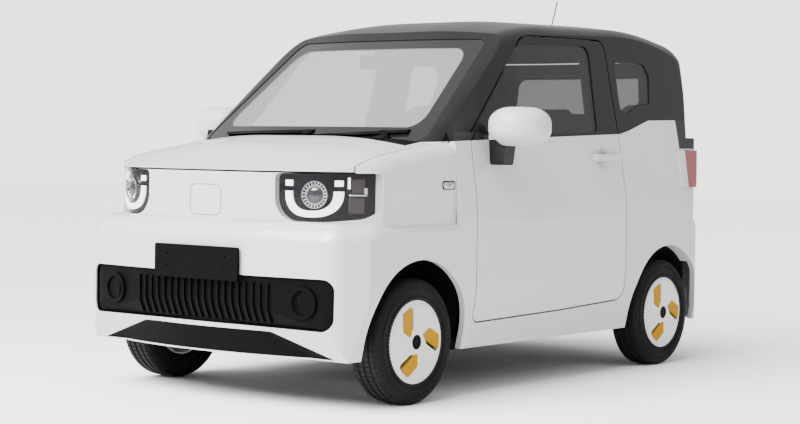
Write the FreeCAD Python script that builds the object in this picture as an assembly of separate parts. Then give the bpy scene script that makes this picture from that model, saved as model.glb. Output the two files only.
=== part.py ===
import FreeCAD, Part
import math
import os

os.makedirs("parts", exist_ok=True)
V = FreeCAD.Vector

# Overall sizes in mm: X to the car's left, Y to the rear, Z up from the ground
HEIGHT = 1637
GROUND = 200
SPLIT = 735
WAIST = 1095
TRACK = 1290
FRONT_AXLE = -960
REAR_AXLE = 1000
TYRE_R = 254
TYRE_W = 145
RIM_R = 152
ARCH_R = 325
HUB_X = TRACK / 2
STEER_X = HUB_X - 100

# Thicknesses and gaps
DOOR_T = 60
SIDE_T = 60
PANEL_T = 25
ROOF_T = 35
GLASS_T = 6
GLASS_IN = 5
SEAM = 0.6
MOVE_GAP = 7
FIT = 0.3

# Body outlines as (u, v, corner radius); half outlines are mirrored about the centre plane
SECTION = [(700, 200, 0), (746, 430, 500), (745, 790, 800), (704, 1066, 1500), (655, 1300, 1500), (575, 1700, 0)]
PLAN_LOW = [(300, -1468, 1500), (668, -1424, 110), (760, -1270, 170), (760, 1235, 200), (650, 1440, 160), (330, 1490, 900)]
PLAN_MID = [(200, -1436, 1800), (530, -1372, 330), (760, -1170, 330), (760, 1220, 260), (640, 1400, 220), (300, 1462, 900)]
PLAN_TOP = [(240, -899, 1400), (640, -800, 140), (740, -620, 200), (740, 1150, 220), (620, 1375, 200), (300, 1440, 800)]
HOOD_LINE = [(-1560, 790, 0), (-1462, 925, 130), (-1180, 1034, 900), (-700, 1108, 0)]
HOOD_SHAPE = [(350, 0, 2500), (717, -54, 78), (717, -1600, 0)]
ROOF_LINE = [(-1300, 1204, 0), (-60, 1615, 1500), (900, 1642, 2200), (1385, 1566, 230), (1500, 780, 0)]
ROOF_SHAPE = [(280, 0, 2500), (606, -38, 100), (930, -1600, 0)]
KEEL = [(-1362, -400, 0), (-1362, 190, 0), (-1472, 400, 240), (-1472, 900, 0), (1494, 900, 0), (1494, 400, 240), (1400, 190, 0), (1400, -400, 0)]
SHOULDER_R = 88
SCREEN_SLOPE = 590 / 457
TAIL_SLOPE = -0.15

# Side view outlines (y, z, corner radius)
BELT = [(-1500, 1047), (-923, 1049), (-664, 1063), (618, 1110), (707, 1129), (890, 1178), (1123, 1184), (1600, 1186)]
DOOR = [(-585, 310, 40), (-585, 1058, 30), (-90, 1530, 160), (587, 1541, 50), (600, 700, 3000), (598, 345, 60), (67, 324, 2000)]
DOOR_GLASS = [(-540, 1080, 25), (-140, 1491, 120), (453, 1512, 50), (418, 1116, 30)]
QUARTER = [(648, 1215, 30), (700, 1204, 30), (826, 1251, 80), (930, 1256, 30), (968, 1395, 40), (925, 1452, 40), (660, 1448, 30)]
ROOF_EDGE = [(-330, 1500), (-75, 1540), (587, 1555), (930, 1520), (1129, 1481), (1250, 1440), (1600, 1400)]
FENDER_LOW = [(-1061, 557), (-1118, 646), (-1187, SPLIT + 20)]
SILL_Y = 700
BUMPER_CUT = 1180
HANDLE_Y = 454
HANDLE_Z = 1000

# Front view outlines (x, z, corner radius)
LAMP = [(350, 926, 22), (900, 932, 0), (900, 852, 0), (742, 850, 15), (690, 752, 70), (560, 737, 300), (350, 737, 95)]
LAMP_BACK = -1190
LIGHT_OUT = [(381, 866, 0), (664, 866, 0), (664, 753, 110), (381, 753, 110)]
LIGHT_IN = [(411, 900, 0), (636, 900, 0), (636, 783, 82), (411, 783, 82)]
PROJECTOR_X = 530
PROJECTOR_Z = 843
BAND = [(666, 521, 46), (664, 318, 52)]
SLATS = 20
SLAT_PITCH = 37.5
FOG_X = 522
FOG_Z = 425
LIP = [(350, 301, 20), (640, 206, 0)]
FLAP_W = 165
FLAP_H = 118
FLAP_Z = 812
TAIL_GATE = [(560, 762, 60), (575, 1120, 200), (500, 1478, 60)]
TAIL_GLASS = [(470, 1200, 50), (420, 1420, 60)]
TAIL_LAMP = [(596, 858, 45), (596, 1040, 45), (900, 1040, 0), (900, 858, 0)]

# Cover blades and slots (y, z) of a wheel
BLADE = [(54, 8, 4), (143, -38, 6), (148, 21, 12), (82, 55, 20), (36, 26, 8)]
SLOT = [(54, 8, 0), (62, -11, 3), (127, -48, 6), (143, -38, 0)]


# Solids from outlines

def yz(x):
    return lambda u, v: V(x, u, v)


def xz(y):
    return lambda u, v: V(u, y, v)


def xy(z):
    return lambda u, v: V(u, v, z)


def corner(a, p, b, r):
    """Tangent points and middle point of the arc that rounds corner p between a and b."""
    da = (a - p).normalize()
    db = (b - p).normalize()
    half = da.getAngle(db) / 2
    t = r / math.tan(half)
    bisector = (da + db).normalize()
    mid = p + bisector * (r / math.sin(half) - r)
    return p + da * t, mid, p + db * t


def outline(points, place):
    flat = [V(q[0], q[1], 0) for q in points]
    count = len(flat)
    ends = []
    edges = []
    for i in range(count):
        r = points[i][2] if len(points[i]) > 2 else 0
        a = flat[i - 1]
        b = flat[(i + 1) % count]
        straight = abs((flat[i] - a).getAngle(b - flat[i])) < 0.002
        ends.append((flat[i], None, flat[i]) if r <= 0 or straight else corner(a, flat[i], b, r))
    for i in range(count):
        start, mid, stop = ends[i]
        if mid is not None:
            edges.append(Part.Arc(place(start.x, start.y), place(mid.x, mid.y), place(stop.x, stop.y)).toShape())
        after = ends[(i + 1) % count][0]
        if (after - stop).Length > 0.01:
            edges.append(Part.makeLine(place(stop.x, stop.y), place(after.x, after.y)))
    return Part.Wire(edges)


def path_wire(points):
    """An open line in side view through (y, z, radius) points."""
    flat = [V(q[0], q[1], 0) for q in points]
    edges = []
    last = flat[0]
    for i in range(1, len(flat)):
        if i < len(flat) - 1:
            start, mid, stop = corner(flat[i - 1], flat[i], flat[i + 1], points[i][2])
            edges.append(Part.makeLine(V(0, last.x, last.y), V(0, start.x, start.y)))
            edges.append(Part.Arc(V(0, start.x, start.y), V(0, mid.x, mid.y), V(0, stop.x, stop.y)).toShape())
            last = stop
        else:
            edges.append(Part.makeLine(V(0, last.x, last.y), V(0, flat[i].x, flat[i].y)))
    return Part.Wire(edges)


def spun_y(points):
    """A turned solid about the Y axis from (radius, y) points."""
    edges = [V(q[0], q[1], 0) for q in points]
    face = Part.Face(Part.makePolygon(edges + [edges[0]]))
    return face.revolve(V(0, 0, 0), V(0, 1, 0), 360)


def both(half):
    """A half outline of points with x above 0, with its mirror image."""
    return half + [(-q[0], q[1], q[2]) for q in reversed(half)]


def plate(points, place, inset=0):
    face = Part.Face(outline(points, place))
    if inset:
        face = face.makeOffset2D(-inset)
    return face


def prism(points, place, reach, inset=0):
    return plate(points, place, inset).extrude(reach)


def swept(shape, line, inset):
    """A cross section carried along a line in side view without turning."""
    points = both([(q[0], q[1], q[2]) for q in shape])
    profile = plate(points, xz(line[0][0]), inset)
    profile.translate(V(0, 0, line[0][1]))
    path = path_wire(line)
    pipe = Part.BRepOffsetAPI.MakePipeShell(path)
    pipe.setTrihedronMode(V(0, 0, 0), V(1, 0, 0))
    pipe.add(profile.OuterWire)
    pipe.build()
    pipe.makeSolid()
    return pipe.shape()


def box(x0, x1, y0, y1, z0, z1):
    return Part.makeBox(x1 - x0, y1 - y0, z1 - z0, V(x0, y0, z0))


def rod(a, b, r):
    return Part.makeCylinder(r, (b - a).Length, a, b - a)


def join(shapes):
    first = shapes[0]
    rest = list(shapes[1:])
    return first.fuse(rest) if rest else first


def mirrored(shape):
    return shape.mirror(V(0, 0, 0), V(1, 0, 0))


def save(name, shape):
    solids = shape.Solids
    made = solids[0] if len(solids) == 1 else Part.makeCompound(solids)
    made.exportStep("parts/" + name + ".step")


# The body form, moved inwards by a distance

FORMS = {}


def form(inset):
    if inset in FORMS:
        return FORMS[inset]
    low = GROUND if inset == 0 else -300
    floor = [(700 - 46 * (200 - low) / 230, low, 0)]
    section = prism(both(floor + SECTION[1:]), xz(-2000), V(0, 4000, 0), inset)
    shelf = SPLIT - (PANEL_T if inset else 0)
    bumpers = prism(both(PLAN_LOW), xy(low), V(0, 0, shelf - low), inset)
    rim = [e for e in bumpers.Edges if e.BoundBox.ZMin > shelf - 1]
    if inset < 65:
        bumpers = bumpers.makeFillet(SHOULDER_R - inset, rim)
    bumpers = bumpers.common(prism(KEEL, yz(-1000), V(2000, 0, 0), inset))
    hood = swept(HOOD_SHAPE, HOOD_LINE, inset).fuse(box(-900, 900, -701, 1700, -1000, 1100 - inset))
    roof_form = swept(ROOF_SHAPE, ROOF_LINE, inset)
    waist = prism(both(PLAN_MID), xy(low), V(0, 0, 1300 - low), inset).common(hood)
    base = 1000 if inset == 0 else 900
    run = V(0, SCREEN_SLOPE * 800, 800)
    lean = V(0, TAIL_SLOPE * 800, 800)
    front_plan = plate(both(PLAN_TOP[:3] + [(740, 2600, 0)]), xy(1053), inset / math.sin(math.atan(1 / SCREEN_SLOPE)))
    front_plan.translate(V(0, SCREEN_SLOPE * (base - 1053), base - 1053))
    rear_plan = plate(both([(740, -2600, 0)] + PLAN_TOP[3:]), xy(WAIST), inset)
    rear_plan.translate(V(0, TAIL_SLOPE * (base - WAIST), base - WAIST))
    cabin = front_plan.extrude(run).common(rear_plan.extrude(lean)).common(roof_form)
    FORMS[inset] = section.common(join([bumpers, waist, cabin]))
    return FORMS[inset]


def panel(region, thickness, skin=0):
    """The part of the body wall between two depths inside a region."""
    return region.common(form(skin)).cut(form(thickness))


def side(points, grow=0, x0=250):
    return prism(points, yz(x0), V(700, 0, 0), -grow)


def above(line, top=1900):
    return prism([(q[0], q[1], 0) for q in line] + [(line[-1][0], top, 0), (line[0][0], top, 0)], yz(-900), V(1800, 0, 0))


def front_prism(points, y0, y1, grow=0):
    return prism(points, xz(y0), V(0, y1 - y0, 0), -grow)


# Shared regions

left_half = box(0, 900, -1600, 1600, 0, 1900)
over_belt = above(BELT)
over_roof = above(ROOF_EDGE)
lamp_zone = front_prism(LAMP, -1600, LAMP_BACK)
BONNET_TOP = [(640, -900, 0), (640, -1290, 60), (540, -1600, 0)]
bonnet_floor = box(-900, 900, -1700, -800, 934, 1300)
bonnet_zone = prism(both(BONNET_TOP), xy(700), V(0, 0, 500)).common(bonnet_floor)
bonnet_hole = prism(both(BONNET_TOP), xy(700), V(0, 0, 500), -MOVE_GAP)
bonnet_hole = bonnet_hole.common(box(-900, 900, -1700, -893, 934 - MOVE_GAP, 1300))
SCREEN = [(618, 1056, 30), (300, 1082, 600), (-300, 1082, 600), (-618, 1056, 30), (-530, 1512, 50), (530, 1512, 50)]
screen_zone = front_prism(SCREEN, -1400, 0)
cowl_zone = box(-600, 600, -893, -700, 980, 1200).cut(screen_zone)
gate_zone = front_prism(both(TAIL_GATE), 1050, 1600)
gate_hole = front_prism(both(TAIL_GATE), 1050, 1600, MOVE_GAP)
tail_lamp_left = front_prism(TAIL_LAMP, 1120, 1600)
rear_bumper_zone = prism([(1000, 0, 0), (1600, 0, 0), (1600, SPLIT + 20, 0), (1330, SPLIT + 20, 60), (1250, 560, 0)], yz(-900), V(1800, 0, 0))
front_bumper_zone = prism([(-1600, 0, 0), (-1061, 0, 0)] + [(q[0], q[1], 0) for q in FENDER_LOW] + [(-1600, SPLIT + 20, 0)],
                          yz(-900), V(1800, 0, 0))


def wheel_arch(axle, r):
    opening = Part.makeCylinder(r, 500, V(400, axle, TYRE_R + 6), V(1, 0, 0))
    return opening.fuse(box(400, 900, axle - r, axle + r, 0, TYRE_R + 6))


front_arch = wheel_arch(FRONT_AXLE, ARCH_R)
rear_arch = wheel_arch(REAR_AXLE, ARCH_R - 5)
door_hole = side(DOOR, MOVE_GAP)

# Doors with window openings and handles
door_left = panel(side(DOOR), DOOR_T).cut(side(DOOR_GLASS, 0))
cup = Part.makeSphere(60, V(752, HANDLE_Y - 20, HANDLE_Z))
bar = box(724, 738, HANDLE_Y - 108, HANDLE_Y + 108, HANDLE_Z - 15, HANDLE_Z + 15)
post_a = box(700, 730, HANDLE_Y - 108, HANDLE_Y - 84, HANDLE_Z - 13, HANDLE_Z + 13)
post_b = box(700, 730, HANDLE_Y + 84, HANDLE_Y + 108, HANDLE_Z - 13, HANDLE_Z + 13)
door_left = join([door_left.cut(cup), bar, post_a, post_b])
door_low = door_left.cut(over_belt)
door_frame = door_left.common(over_belt)
save("door_left", door_low)
save("door_right", mirrored(door_low))
save("door_frame_left", door_frame)
save("door_frame_right", mirrored(door_frame))
door_glass = panel(side(DOOR_GLASS, -FIT), GLASS_IN + GLASS_T, GLASS_IN)
save("door_glass_left", door_glass)
save("door_glass_right", mirrored(door_glass))

# Mirrors on arms that stand on the door skin
EGG = [(0, -83, 0), (84, -80, 100), (132, -38, 60), (132, 38, 60), (84, 80, 100), (0, 83, 0)]
shell = plate(EGG, xz(0)).revolve(V(0, 0, 0), V(0, 0, 1), 360)
shell = shell.cut(box(-150, 150, 92, 200, -100, 100))
glass_hole = prism([(-95, -52, 48), (95, -52, 48), (95, 52, 48), (-95, 52, 48)], xz(86), V(0, 20, 0))
shell = shell.cut(glass_hole)
shell.rotate(V(0, 0, 0), V(0, 0, 1), 8)
shell.translate(V(843, -432, 1127))
arm = prism([(-470, 965, 12), (-400, 965, 12), (-372, 1100, 12), (-452, 1100, 12)], yz(700), V(90, 0, 0))
arm = arm.cut(form(0))
mirror_left = join([shell, arm])
save("mirror_left", mirror_left)
save("mirror_right", mirrored(mirror_left))

# Body sides: sill, centre pillar foot and rear quarter below the belt
side_zone = box(0, 900, -588, 1600, 0, 1400)
body_side = panel(side_zone, SIDE_T).cut([over_belt, door_hole, rear_arch, front_arch, gate_hole, rear_bumper_zone])
body_side = body_side.cut(tail_lamp_left)
body_side = body_side.cut(box(0, 600, -700, 1100, 0, 1400))
post = panel(side([(562, 300, 0), (660, 300, 0), (660, 1085, 0), (562, 1085, 0)]), SIDE_T + 30, SIDE_T + FIT)
post_root = panel(side([(612, 300, 0), (660, 300, 0), (660, 1085, 0), (612, 1085, 0)]), SIDE_T + 30, 45)
body_side = join([body_side, post, post_root])
save("body_side_left", body_side)
save("body_side_right", mirrored(body_side))

# Cabin frame: windscreen pillars, roof rails and rear quarter uppers
frame_left = panel(left_half.common(over_belt), SIDE_T)
frame_left = frame_left.cut([over_roof, door_hole, screen_zone, gate_hole, side(QUARTER), box(0, 250, -900, 1200, 0, 1900)])
frame_left = frame_left.cut(box(0, 900, -1600, -880, 0, 1900))
frame_left = frame_left.cut(cowl_zone)
save("cabin_frame", Part.makeCompound([frame_left, mirrored(frame_left)]))
quarter = panel(side(QUARTER, -FIT), GLASS_IN + GLASS_T, GLASS_IN)
save("quarter_glass", Part.makeCompound([quarter, mirrored(quarter)]))

# Roof
roof = panel(over_roof, ROOF_T).cut([screen_zone, gate_hole, door_hole, mirrored(door_hole)])
save("roof_panel", roof)

# Windscreen
windscreen = panel(front_prism(SCREEN, -1400, 0, -FIT), 8, 3)
save("windscreen", windscreen)

# Cowl between bonnet and windscreen
cowl = panel(cowl_zone, PANEL_T).cut(bonnet_hole)
hinge_bead = rod(V(-150, -896.5, 1070.5), V(150, -896.5, 1070.5), 3.2)
tabs = [box(x - 8, x + 8, -895, -884, 1066, 1070) for x in (-140, 140)]
cowl = join([cowl, hinge_bead] + tabs)
save("cowl_panel", cowl)

# Bonnet
bonnet = panel(bonnet_zone, PANEL_T).cut(lamp_zone)
save("bonnet", bonnet)

# Front corners
fender_zone = box(0, 900, -1600, -588 - SEAM, GROUND, 1300)
fender = panel(fender_zone, PANEL_T).cut([front_bumper_zone, lamp_zone, bonnet_hole, front_arch, over_belt, door_hole, cowl_zone])
fender = fender.cut(box(-50, 380 + SEAM, -1600, -1200, 0, 1300))
save("fender_left", fender)
save("fender_right", mirrored(fender))

# Nose panel with the charging flap opening
flap_points = [(-FLAP_W / 2, FLAP_Z - FLAP_H / 2, 28), (FLAP_W / 2, FLAP_Z - FLAP_H / 2, 28),
               (FLAP_W / 2, FLAP_Z + FLAP_H / 2, 28), (-FLAP_W / 2, FLAP_Z + FLAP_H / 2, 28)]
nose = panel(box(-380, 380, -1600, -1200, SPLIT + 2, 934 - MOVE_GAP), PANEL_T)
nose = nose.cut([lamp_zone, mirrored(lamp_zone)])
flap_hole = front_prism(flap_points, -1600, -1425, 5)
save("nose_panel", nose.cut(panel(flap_hole, 5 + FIT)))
charge_flap = front_prism(flap_points, -1600, -1300).common(form(0)).cut(form(5))
save("charge_flap", charge_flap)

# Head lamps: dark housing, light ring, projector and clear cover
lamp_in = front_prism(LAMP, -1600, LAMP_BACK, -FIT)
housing = panel(lamp_in, SIDE_T, PANEL_T)
save("headlamps", Part.makeCompound([housing, mirrored(housing)]))
ring = front_prism(LIGHT_OUT, -1600, -1250).cut(front_prism(LIGHT_IN, -1600, -1250))
tips = [box(x, x + 28, -1600, -1250, 876, 902) for x in (383, 634)]
lights = panel(join([ring] + tips), PANEL_T, 11)
save("lamp_lights", Part.makeCompound(lights.Solids + mirrored(lights).Solids))
barrel = spun_y([(46, 0), (58, 0), (58, 70), (0.1, 70), (0.1, 22), (46, 22)])
barrel.translate(V(PROJECTOR_X, -1396, PROJECTOR_Z))
barrel = barrel.common(form(8)).cut([form(SIDE_T), housing, lights])
save("projectors", Part.makeCompound(barrel.Solids + mirrored(barrel).Solids))
cover = panel(lamp_in, 5)
save("headlamp_lenses", Part.makeCompound([cover, mirrored(cover)]))

# Front bumper, lower grille, plate bracket and lip
band_points = both(BAND)
band_zone = front_prism(band_points, -1600, -1200)
nose_zone = box(-380 - SEAM, 380 + SEAM, -1600, -1200, SPLIT + 1, 940)
bumper = panel(front_bumper_zone, PANEL_T).cut([band_zone, front_arch, mirrored(front_arch)])
bumper = bumper.cut([nose_zone, lamp_zone, mirrored(lamp_zone)])
lip_zone = front_prism(both(LIP), -1600, -1200)
bumper = bumper.cut(lip_zone)
save("front_bumper", bumper)
grille = panel(front_prism(band_points, -1600, -1200, -FIT), ROOF_T, 14)
slats = []
for i in range(SLATS):
    x = (i - (SLATS - 1) / 2) * SLAT_PITCH
    slats.append(panel(box(x - 6, x + 6, -1600, -1200, 336, 492), 14, 5))
fogs = []
for s in (-1, 1):
    ring_y = Part.makeCylinder(64, 80, V(s * FOG_X, -1470, FOG_Z), V(0, 1, 0)).common(form(3))
    ring_y = ring_y.cut(Part.makeCylinder(48, 80, V(s * FOG_X, -1470, FOG_Z), V(0, 1, 0)).cut(form(11)))
    fogs.append(ring_y)
save("grille", join([grille] + slats + fogs))
bracket = prism([(-230, 495, 8), (230, 495, 8), (230, 629, 8), (-230, 629, 8)], xz(-1490), V(0, 12, 0))
stay = box(-180, 180, -1479, -1440, 512, 610).cut(form(0))
stay_low = box(-180, 180, -1479, -1450, 500, 514).cut(form(14))
bracket = join([bracket, stay])
for x in (-160, 160):
    for z in (540, 590):
        bracket = bracket.cut(rod(V(x, -1492, z), V(x, -1484, z), 4))
save("plate_bracket", bracket)
lip = panel(front_prism(both(LIP), -1600, -1200, -FIT), ROOF_T, 5)
save("front_lip", lip)

# Rear bumper and lamps
rear_bumper = panel(rear_bumper_zone, PANEL_T).cut([rear_arch, mirrored(rear_arch)])
save("rear_bumper", rear_bumper)
tail_lamp = panel(front_prism(TAIL_LAMP, 1120, 1600, -FIT), 45, -13).cut(gate_hole)
save("tail_lamps", Part.makeCompound([tail_lamp, mirrored(tail_lamp)]))

# Tailgate and its glass
gate = panel(gate_zone, 45).cut(front_prism(both(TAIL_GLASS), 1050, 1600))
gate_top = box(-700, 700, 1000, 1600, 1186, 1700)
save("tailgate", gate.cut(gate_top))
save("tailgate_frame", gate.common(gate_top))
save("tailgate_glass", panel(front_prism(both(TAIL_GLASS), 1050, 1600, -FIT), GLASS_IN + GLASS_T, GLASS_IN))

# Floor, firewall, front rails, wheelhouses and rear floor
inside = form(SIDE_T + FIT)
FLOOR_Z = 236
parts = [box(-700, 700, -625, 640, FLOOR_Z, FLOOR_Z + 24), box(-700, 700, -625, -605, FLOOR_Z, 1030),
         box(-540, 540, 620, 640, FLOOR_Z, 540), box(-540, 540, 620, 1400, 520, 544), box(-540, 540, 1380, 1400, 300, 720)]
for s in (-1, 1):
    x0, x1 = sorted((s * 400, s * 418))
    parts.append(box(x0, x1, -1380, -610, 330, 700))
    x0, x1 = sorted((s * 340, s * 400))
    parts.append(box(x0, x1, -1400, -600, 330, 420))
    x0, x1 = sorted((s * 400, s * 600))
    parts.append(box(x0, x1, FRONT_AXLE - 90, FRONT_AXLE + 90, 682, 700))
    x0, x1 = sorted((s * 530, s * 546))
    parts.append(box(x0, x1, 625, 1390, 300, 600))
    tube = Part.makeCylinder(ARCH_R + 12, 160, V(530, REAR_AXLE, TYRE_R + 6), V(1, 0, 0))
    tube = tube.cut(Part.makeCylinder(ARCH_R, 160, V(530, REAR_AXLE, TYRE_R + 6), V(1, 0, 0)))
    tube = tube.common(box(500, 800, 600, 1400, TYRE_R, 700))
    parts.append(tube if s > 0 else mirrored(tube))
parts.append(box(-520, 520, -1420, -1400, 330, 480))
gate_seat = panel(box(-500, 500, 1200, 1600, 700, 800), SIDE_T + 30, 45 + FIT)
floor = join([join(parts).common(inside), gate_seat]).cut([body_side, mirrored(body_side)])
save("floor_pan", floor)

# Cabin fittings
dash = prism([(-604, 985, 0), (-604, 690, 0), (-500, 640, 30), (-420, 680, 40), (-390, 800, 60), (-400, 930, 60), (-470, 985, 60)],
             yz(-600), V(1200, 0, 0))
column_a = V(330, -430, 815)
wheel_c = V(330, -285, 885)
column = rod(column_a - (wheel_c - column_a) * 0.2, column_a + (wheel_c - column_a) * 0.55, 34)
steer_axis = (wheel_c - column_a).normalize()
shaft_start = wheel_c - steer_axis * 120
dash = dash.fuse(column).cut(rod(shaft_start - steer_axis * 20, wheel_c, 12 + FIT))
save("dashboard", dash)
rim_face = plate([(164, -13), (180, -13), (187, 0), (180, 13), (164, 13), (157, 0)], lambda u, v: V(u, 0, v))
wheel_rim = rim_face.revolve(V(0, 0, 0), V(0, 0, 1), 360)
wheel_rim.rotate(V(0, 0, 0), V(1, 0, 0), math.degrees(math.atan2(steer_axis.z, steer_axis.y)) - 90)
wheel_rim.translate(wheel_c)
hub = rod(wheel_c - steer_axis * 40, wheel_c + steer_axis * 6, 42)
spokes = box(-172, 172, -14, 14, -8, 8).fuse(box(-14, 14, -172, 0, -8, 8))
spokes.rotate(V(0, 0, 0), V(1, 0, 0), math.degrees(math.atan2(steer_axis.z, steer_axis.y)) - 90)
spokes.translate(wheel_c)
shaft = rod(shaft_start, wheel_c, 12)
save("steering_wheel", join([wheel_rim, hub, spokes, shaft]))


def seat(x):
    cushion = prism([(-90, 420, 40), (400, 400, 40), (400, 500, 40), (-90, 545, 40)], yz(x - 235), V(470, 0, 0))
    back = prism([(330, 470, 40), (450, 470, 40), (600, 1200, 60), (520, 1270, 50), (470, 1190, 60)], yz(x - 225), V(450, 0, 0))
    base = box(x - 190, x + 190, -40, 360, FLOOR_Z + 24, 430)
    return join([cushion, back, base])


save("seat_left", seat(330))
save("seat_right", seat(-330))
bench = join([prism([(720, 544, 0), (1020, 544, 0), (1000, 650, 40), (700, 670, 40)], yz(-500), V(1000, 0, 0)),
              prism([(980, 544, 0), (1080, 544, 0), (1170, 1040, 40), (1080, 1040, 40)], yz(-500), V(1000, 0, 0))])
save("rear_bench", bench)
stalk = rod(V(0, -321, 1415), V(0, -380, 1520), 8).common(form(8))
save("interior_mirror", join([box(-110, 110, -330, -312, 1385, 1445), stalk]))

# Battery block under the floor
save("battery_pack", box(-420, 420, -450, 450, 150, FLOOR_Z))

# Wipers
strips = [[(-470, 1079), (60, 1092), (60, 1104), (-470, 1091)], [(20, 1066), (520, 1096), (520, 1108), (20, 1078)],
          [(30, 1060), (62, 1060), (62, 1104), (36, 1104)], [(440, 1060), (475, 1060), (420, 1104), (396, 1104)]]
wipers = join([prism([(q[0], q[1], 0) for q in strip], xz(-1200), V(0, 500, 0)) for strip in strips])
save("wipers", wipers.common(form(-9)).cut([form(3), cowl, bonnet_hole]))

# Roof antenna
save("antenna", join([Part.makeCylinder(13, 15, V(0, 1060, 1622)), rod(V(0, 1060, 1632), V(0, 1122, 1788), 3)]).cut(form(0)))

# Front suspension with a crossmember, arms and struts
sus = [box(-400, 400, FRONT_AXLE - 40, FRONT_AXLE + 40, 180, 230), box(-398, -342, FRONT_AXLE - 30, FRONT_AXLE + 30, 225, 330),
       box(342, 398, FRONT_AXLE - 30, FRONT_AXLE + 30, 225, 330)]
for s in (-1, 1):
    sus.append(rod(V(s * 380, FRONT_AXLE - 25, 205), V(s * STEER_X, FRONT_AXLE, 190), 14))
    sus.append(Part.makeCylinder(26, 24, V(s * STEER_X, FRONT_AXLE, 178)))
    sus.append(Part.makeCylinder(20, 330, V(s * STEER_X, FRONT_AXLE, 352)))
sus = join(sus)
for s in (-1, 1):
    sus = sus.cut(Part.makeCylinder(10 + FIT, 400, V(s * STEER_X, FRONT_AXLE, 100)))
save("front_suspension", sus)


def knuckle(s):
    upright = box(-16, 16, -22, 22, 208, 345)
    pin = Part.makeCylinder(10, 190, V(0, 0, 180))
    axle = Part.makeCylinder(15, HUB_X + 25 - STEER_X, V(0, 0, TYRE_R), V(1, 0, 0))
    disc = Part.makeCylinder(105, 12, V(HUB_X - 28 - STEER_X, 0, TYRE_R), V(1, 0, 0))
    made = join([upright, pin, axle, disc])
    made.translate(V(STEER_X, FRONT_AXLE, 0))
    return made if s > 0 else mirrored(made)


save("knuckle_left", knuckle(1))
save("knuckle_right", knuckle(-1))

# Rear beam with the motor block, arms, springs and drums
rear = [rod(V(75 - HUB_X, REAR_AXLE, TYRE_R), V(HUB_X - 75, REAR_AXLE, TYRE_R), 30), box(-190, 190, 880, 1130, 165, 420)]
for s in (-1, 1):
    rear.append(rod(V(s * 440, 640, 330), V(s * 440, REAR_AXLE, TYRE_R), 22))
    rear.append(Part.makeCylinder(42, 250, V(s * 440, REAR_AXLE + 20, 270)))
    rear.append(rod(V(s * (HUB_X - 105), REAR_AXLE, TYRE_R), V(s * (HUB_X + 25), REAR_AXLE, TYRE_R), 15))
    rear.append(rod(V(s * (HUB_X - 45), REAR_AXLE, TYRE_R), V(s * HUB_X, REAR_AXLE, TYRE_R), 95))
save("rear_axle", join(rear).cut(floor))


# Wheels about their own axis, outer side towards +X
def spun(points):
    face = plate(points, lambda u, v: V(u, 0, v))
    return face.revolve(V(0, 0, 0), V(1, 0, 0), 360)


def tyre():
    w = TYRE_W / 2
    return spun([(-w + 22, RIM_R + 1), (-w + 3, 182), (-w, 205), (-w + 5, 232), (-w + 20, TYRE_R - 3), (-w + 40, TYRE_R),
                 (w - 40, TYRE_R), (w - 20, TYRE_R - 3), (w - 5, 232), (w, 205), (w - 3, 182), (w - 22, RIM_R + 1)])


def fan(points, turn, x0, x1, grow=0):
    made = prism(points, yz(x0), V(x1 - x0, 0, 0), -grow)
    made.rotate(V(0, 0, 0), V(1, 0, 0), turn)
    return made


def wheel():
    barrel = spun([(-58, 146), (-58, 152.7), (66, 152.7), (66, 146)])
    disc = spun([(20, 15.4), (20, 147), (28, 147), (28, 15.4)])
    cover = spun([(62, 30.4), (64, 166), (67, 171), (71, 168), (75, 150), (77, 30.4)])
    boss = spun([(28, 15.4), (28, 45), (63, 45), (63, 30.4), (40, 15.4)])
    made = join([barrel, disc, cover, boss])
    for i in range(3):
        made = made.cut([fan(BLADE, i * 120, 60, 90), fan(SLOT, i * 120, 60, 90)])
    return made


def blades():
    return [fan(BLADE, i * 120, 62.4, 78, -FIT) for i in range(3)]


def placed(shape, s, axle):
    made = shape.copy()
    if s < 0:
        made.rotate(V(0, 0, 0), V(0, 0, 1), 180)
    made.translate(V(s * TRACK / 2, axle, TYRE_R))
    return made


tyre_shape = tyre()
wheel_shape = wheel()
cap = spun([(50, 0.1), (50, 30), (75, 30), (77.5, 24), (78, 0.1)])
blade_shape = Part.makeCompound(blades())
for end, axle in (("front", FRONT_AXLE), ("rear", REAR_AXLE)):
    for hand, s in (("left", 1), ("right", -1)):
        save("tyre_" + end + "_" + hand, placed(tyre_shape, s, axle))
        save("wheel_" + end + "_" + hand, placed(wheel_shape, s, axle))
        save("blades_" + end + "_" + hand, placed(blade_shape, s, axle))
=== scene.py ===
"""Looks of a small two-door electric city car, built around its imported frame.

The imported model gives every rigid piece. This script gives each of them its
finish, models what the frame leaves plain (tyre treads, seats, lamp insides,
linings and trim), and sets the studio and the camera.
"""

import logging
import math
from contextlib import contextmanager
from dataclasses import dataclass, field
from enum import Enum
from functools import cache, cached_property, partial
from typing import Any, Callable, Iterator, Sequence

import bpy
from mathutils import Matrix, Vector


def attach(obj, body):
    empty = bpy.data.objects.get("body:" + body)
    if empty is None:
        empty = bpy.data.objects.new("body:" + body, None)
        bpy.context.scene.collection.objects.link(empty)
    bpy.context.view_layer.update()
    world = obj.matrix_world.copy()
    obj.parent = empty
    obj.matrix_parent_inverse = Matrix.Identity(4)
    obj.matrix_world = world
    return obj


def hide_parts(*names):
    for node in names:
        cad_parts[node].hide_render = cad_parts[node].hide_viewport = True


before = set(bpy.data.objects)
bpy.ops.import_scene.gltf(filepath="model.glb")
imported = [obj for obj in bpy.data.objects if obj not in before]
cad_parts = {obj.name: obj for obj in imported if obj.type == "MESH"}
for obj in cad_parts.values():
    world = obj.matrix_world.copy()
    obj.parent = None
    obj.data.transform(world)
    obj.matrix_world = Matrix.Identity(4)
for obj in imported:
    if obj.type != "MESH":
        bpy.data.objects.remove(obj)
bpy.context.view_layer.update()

log = logging.getLogger("city_car")

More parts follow.
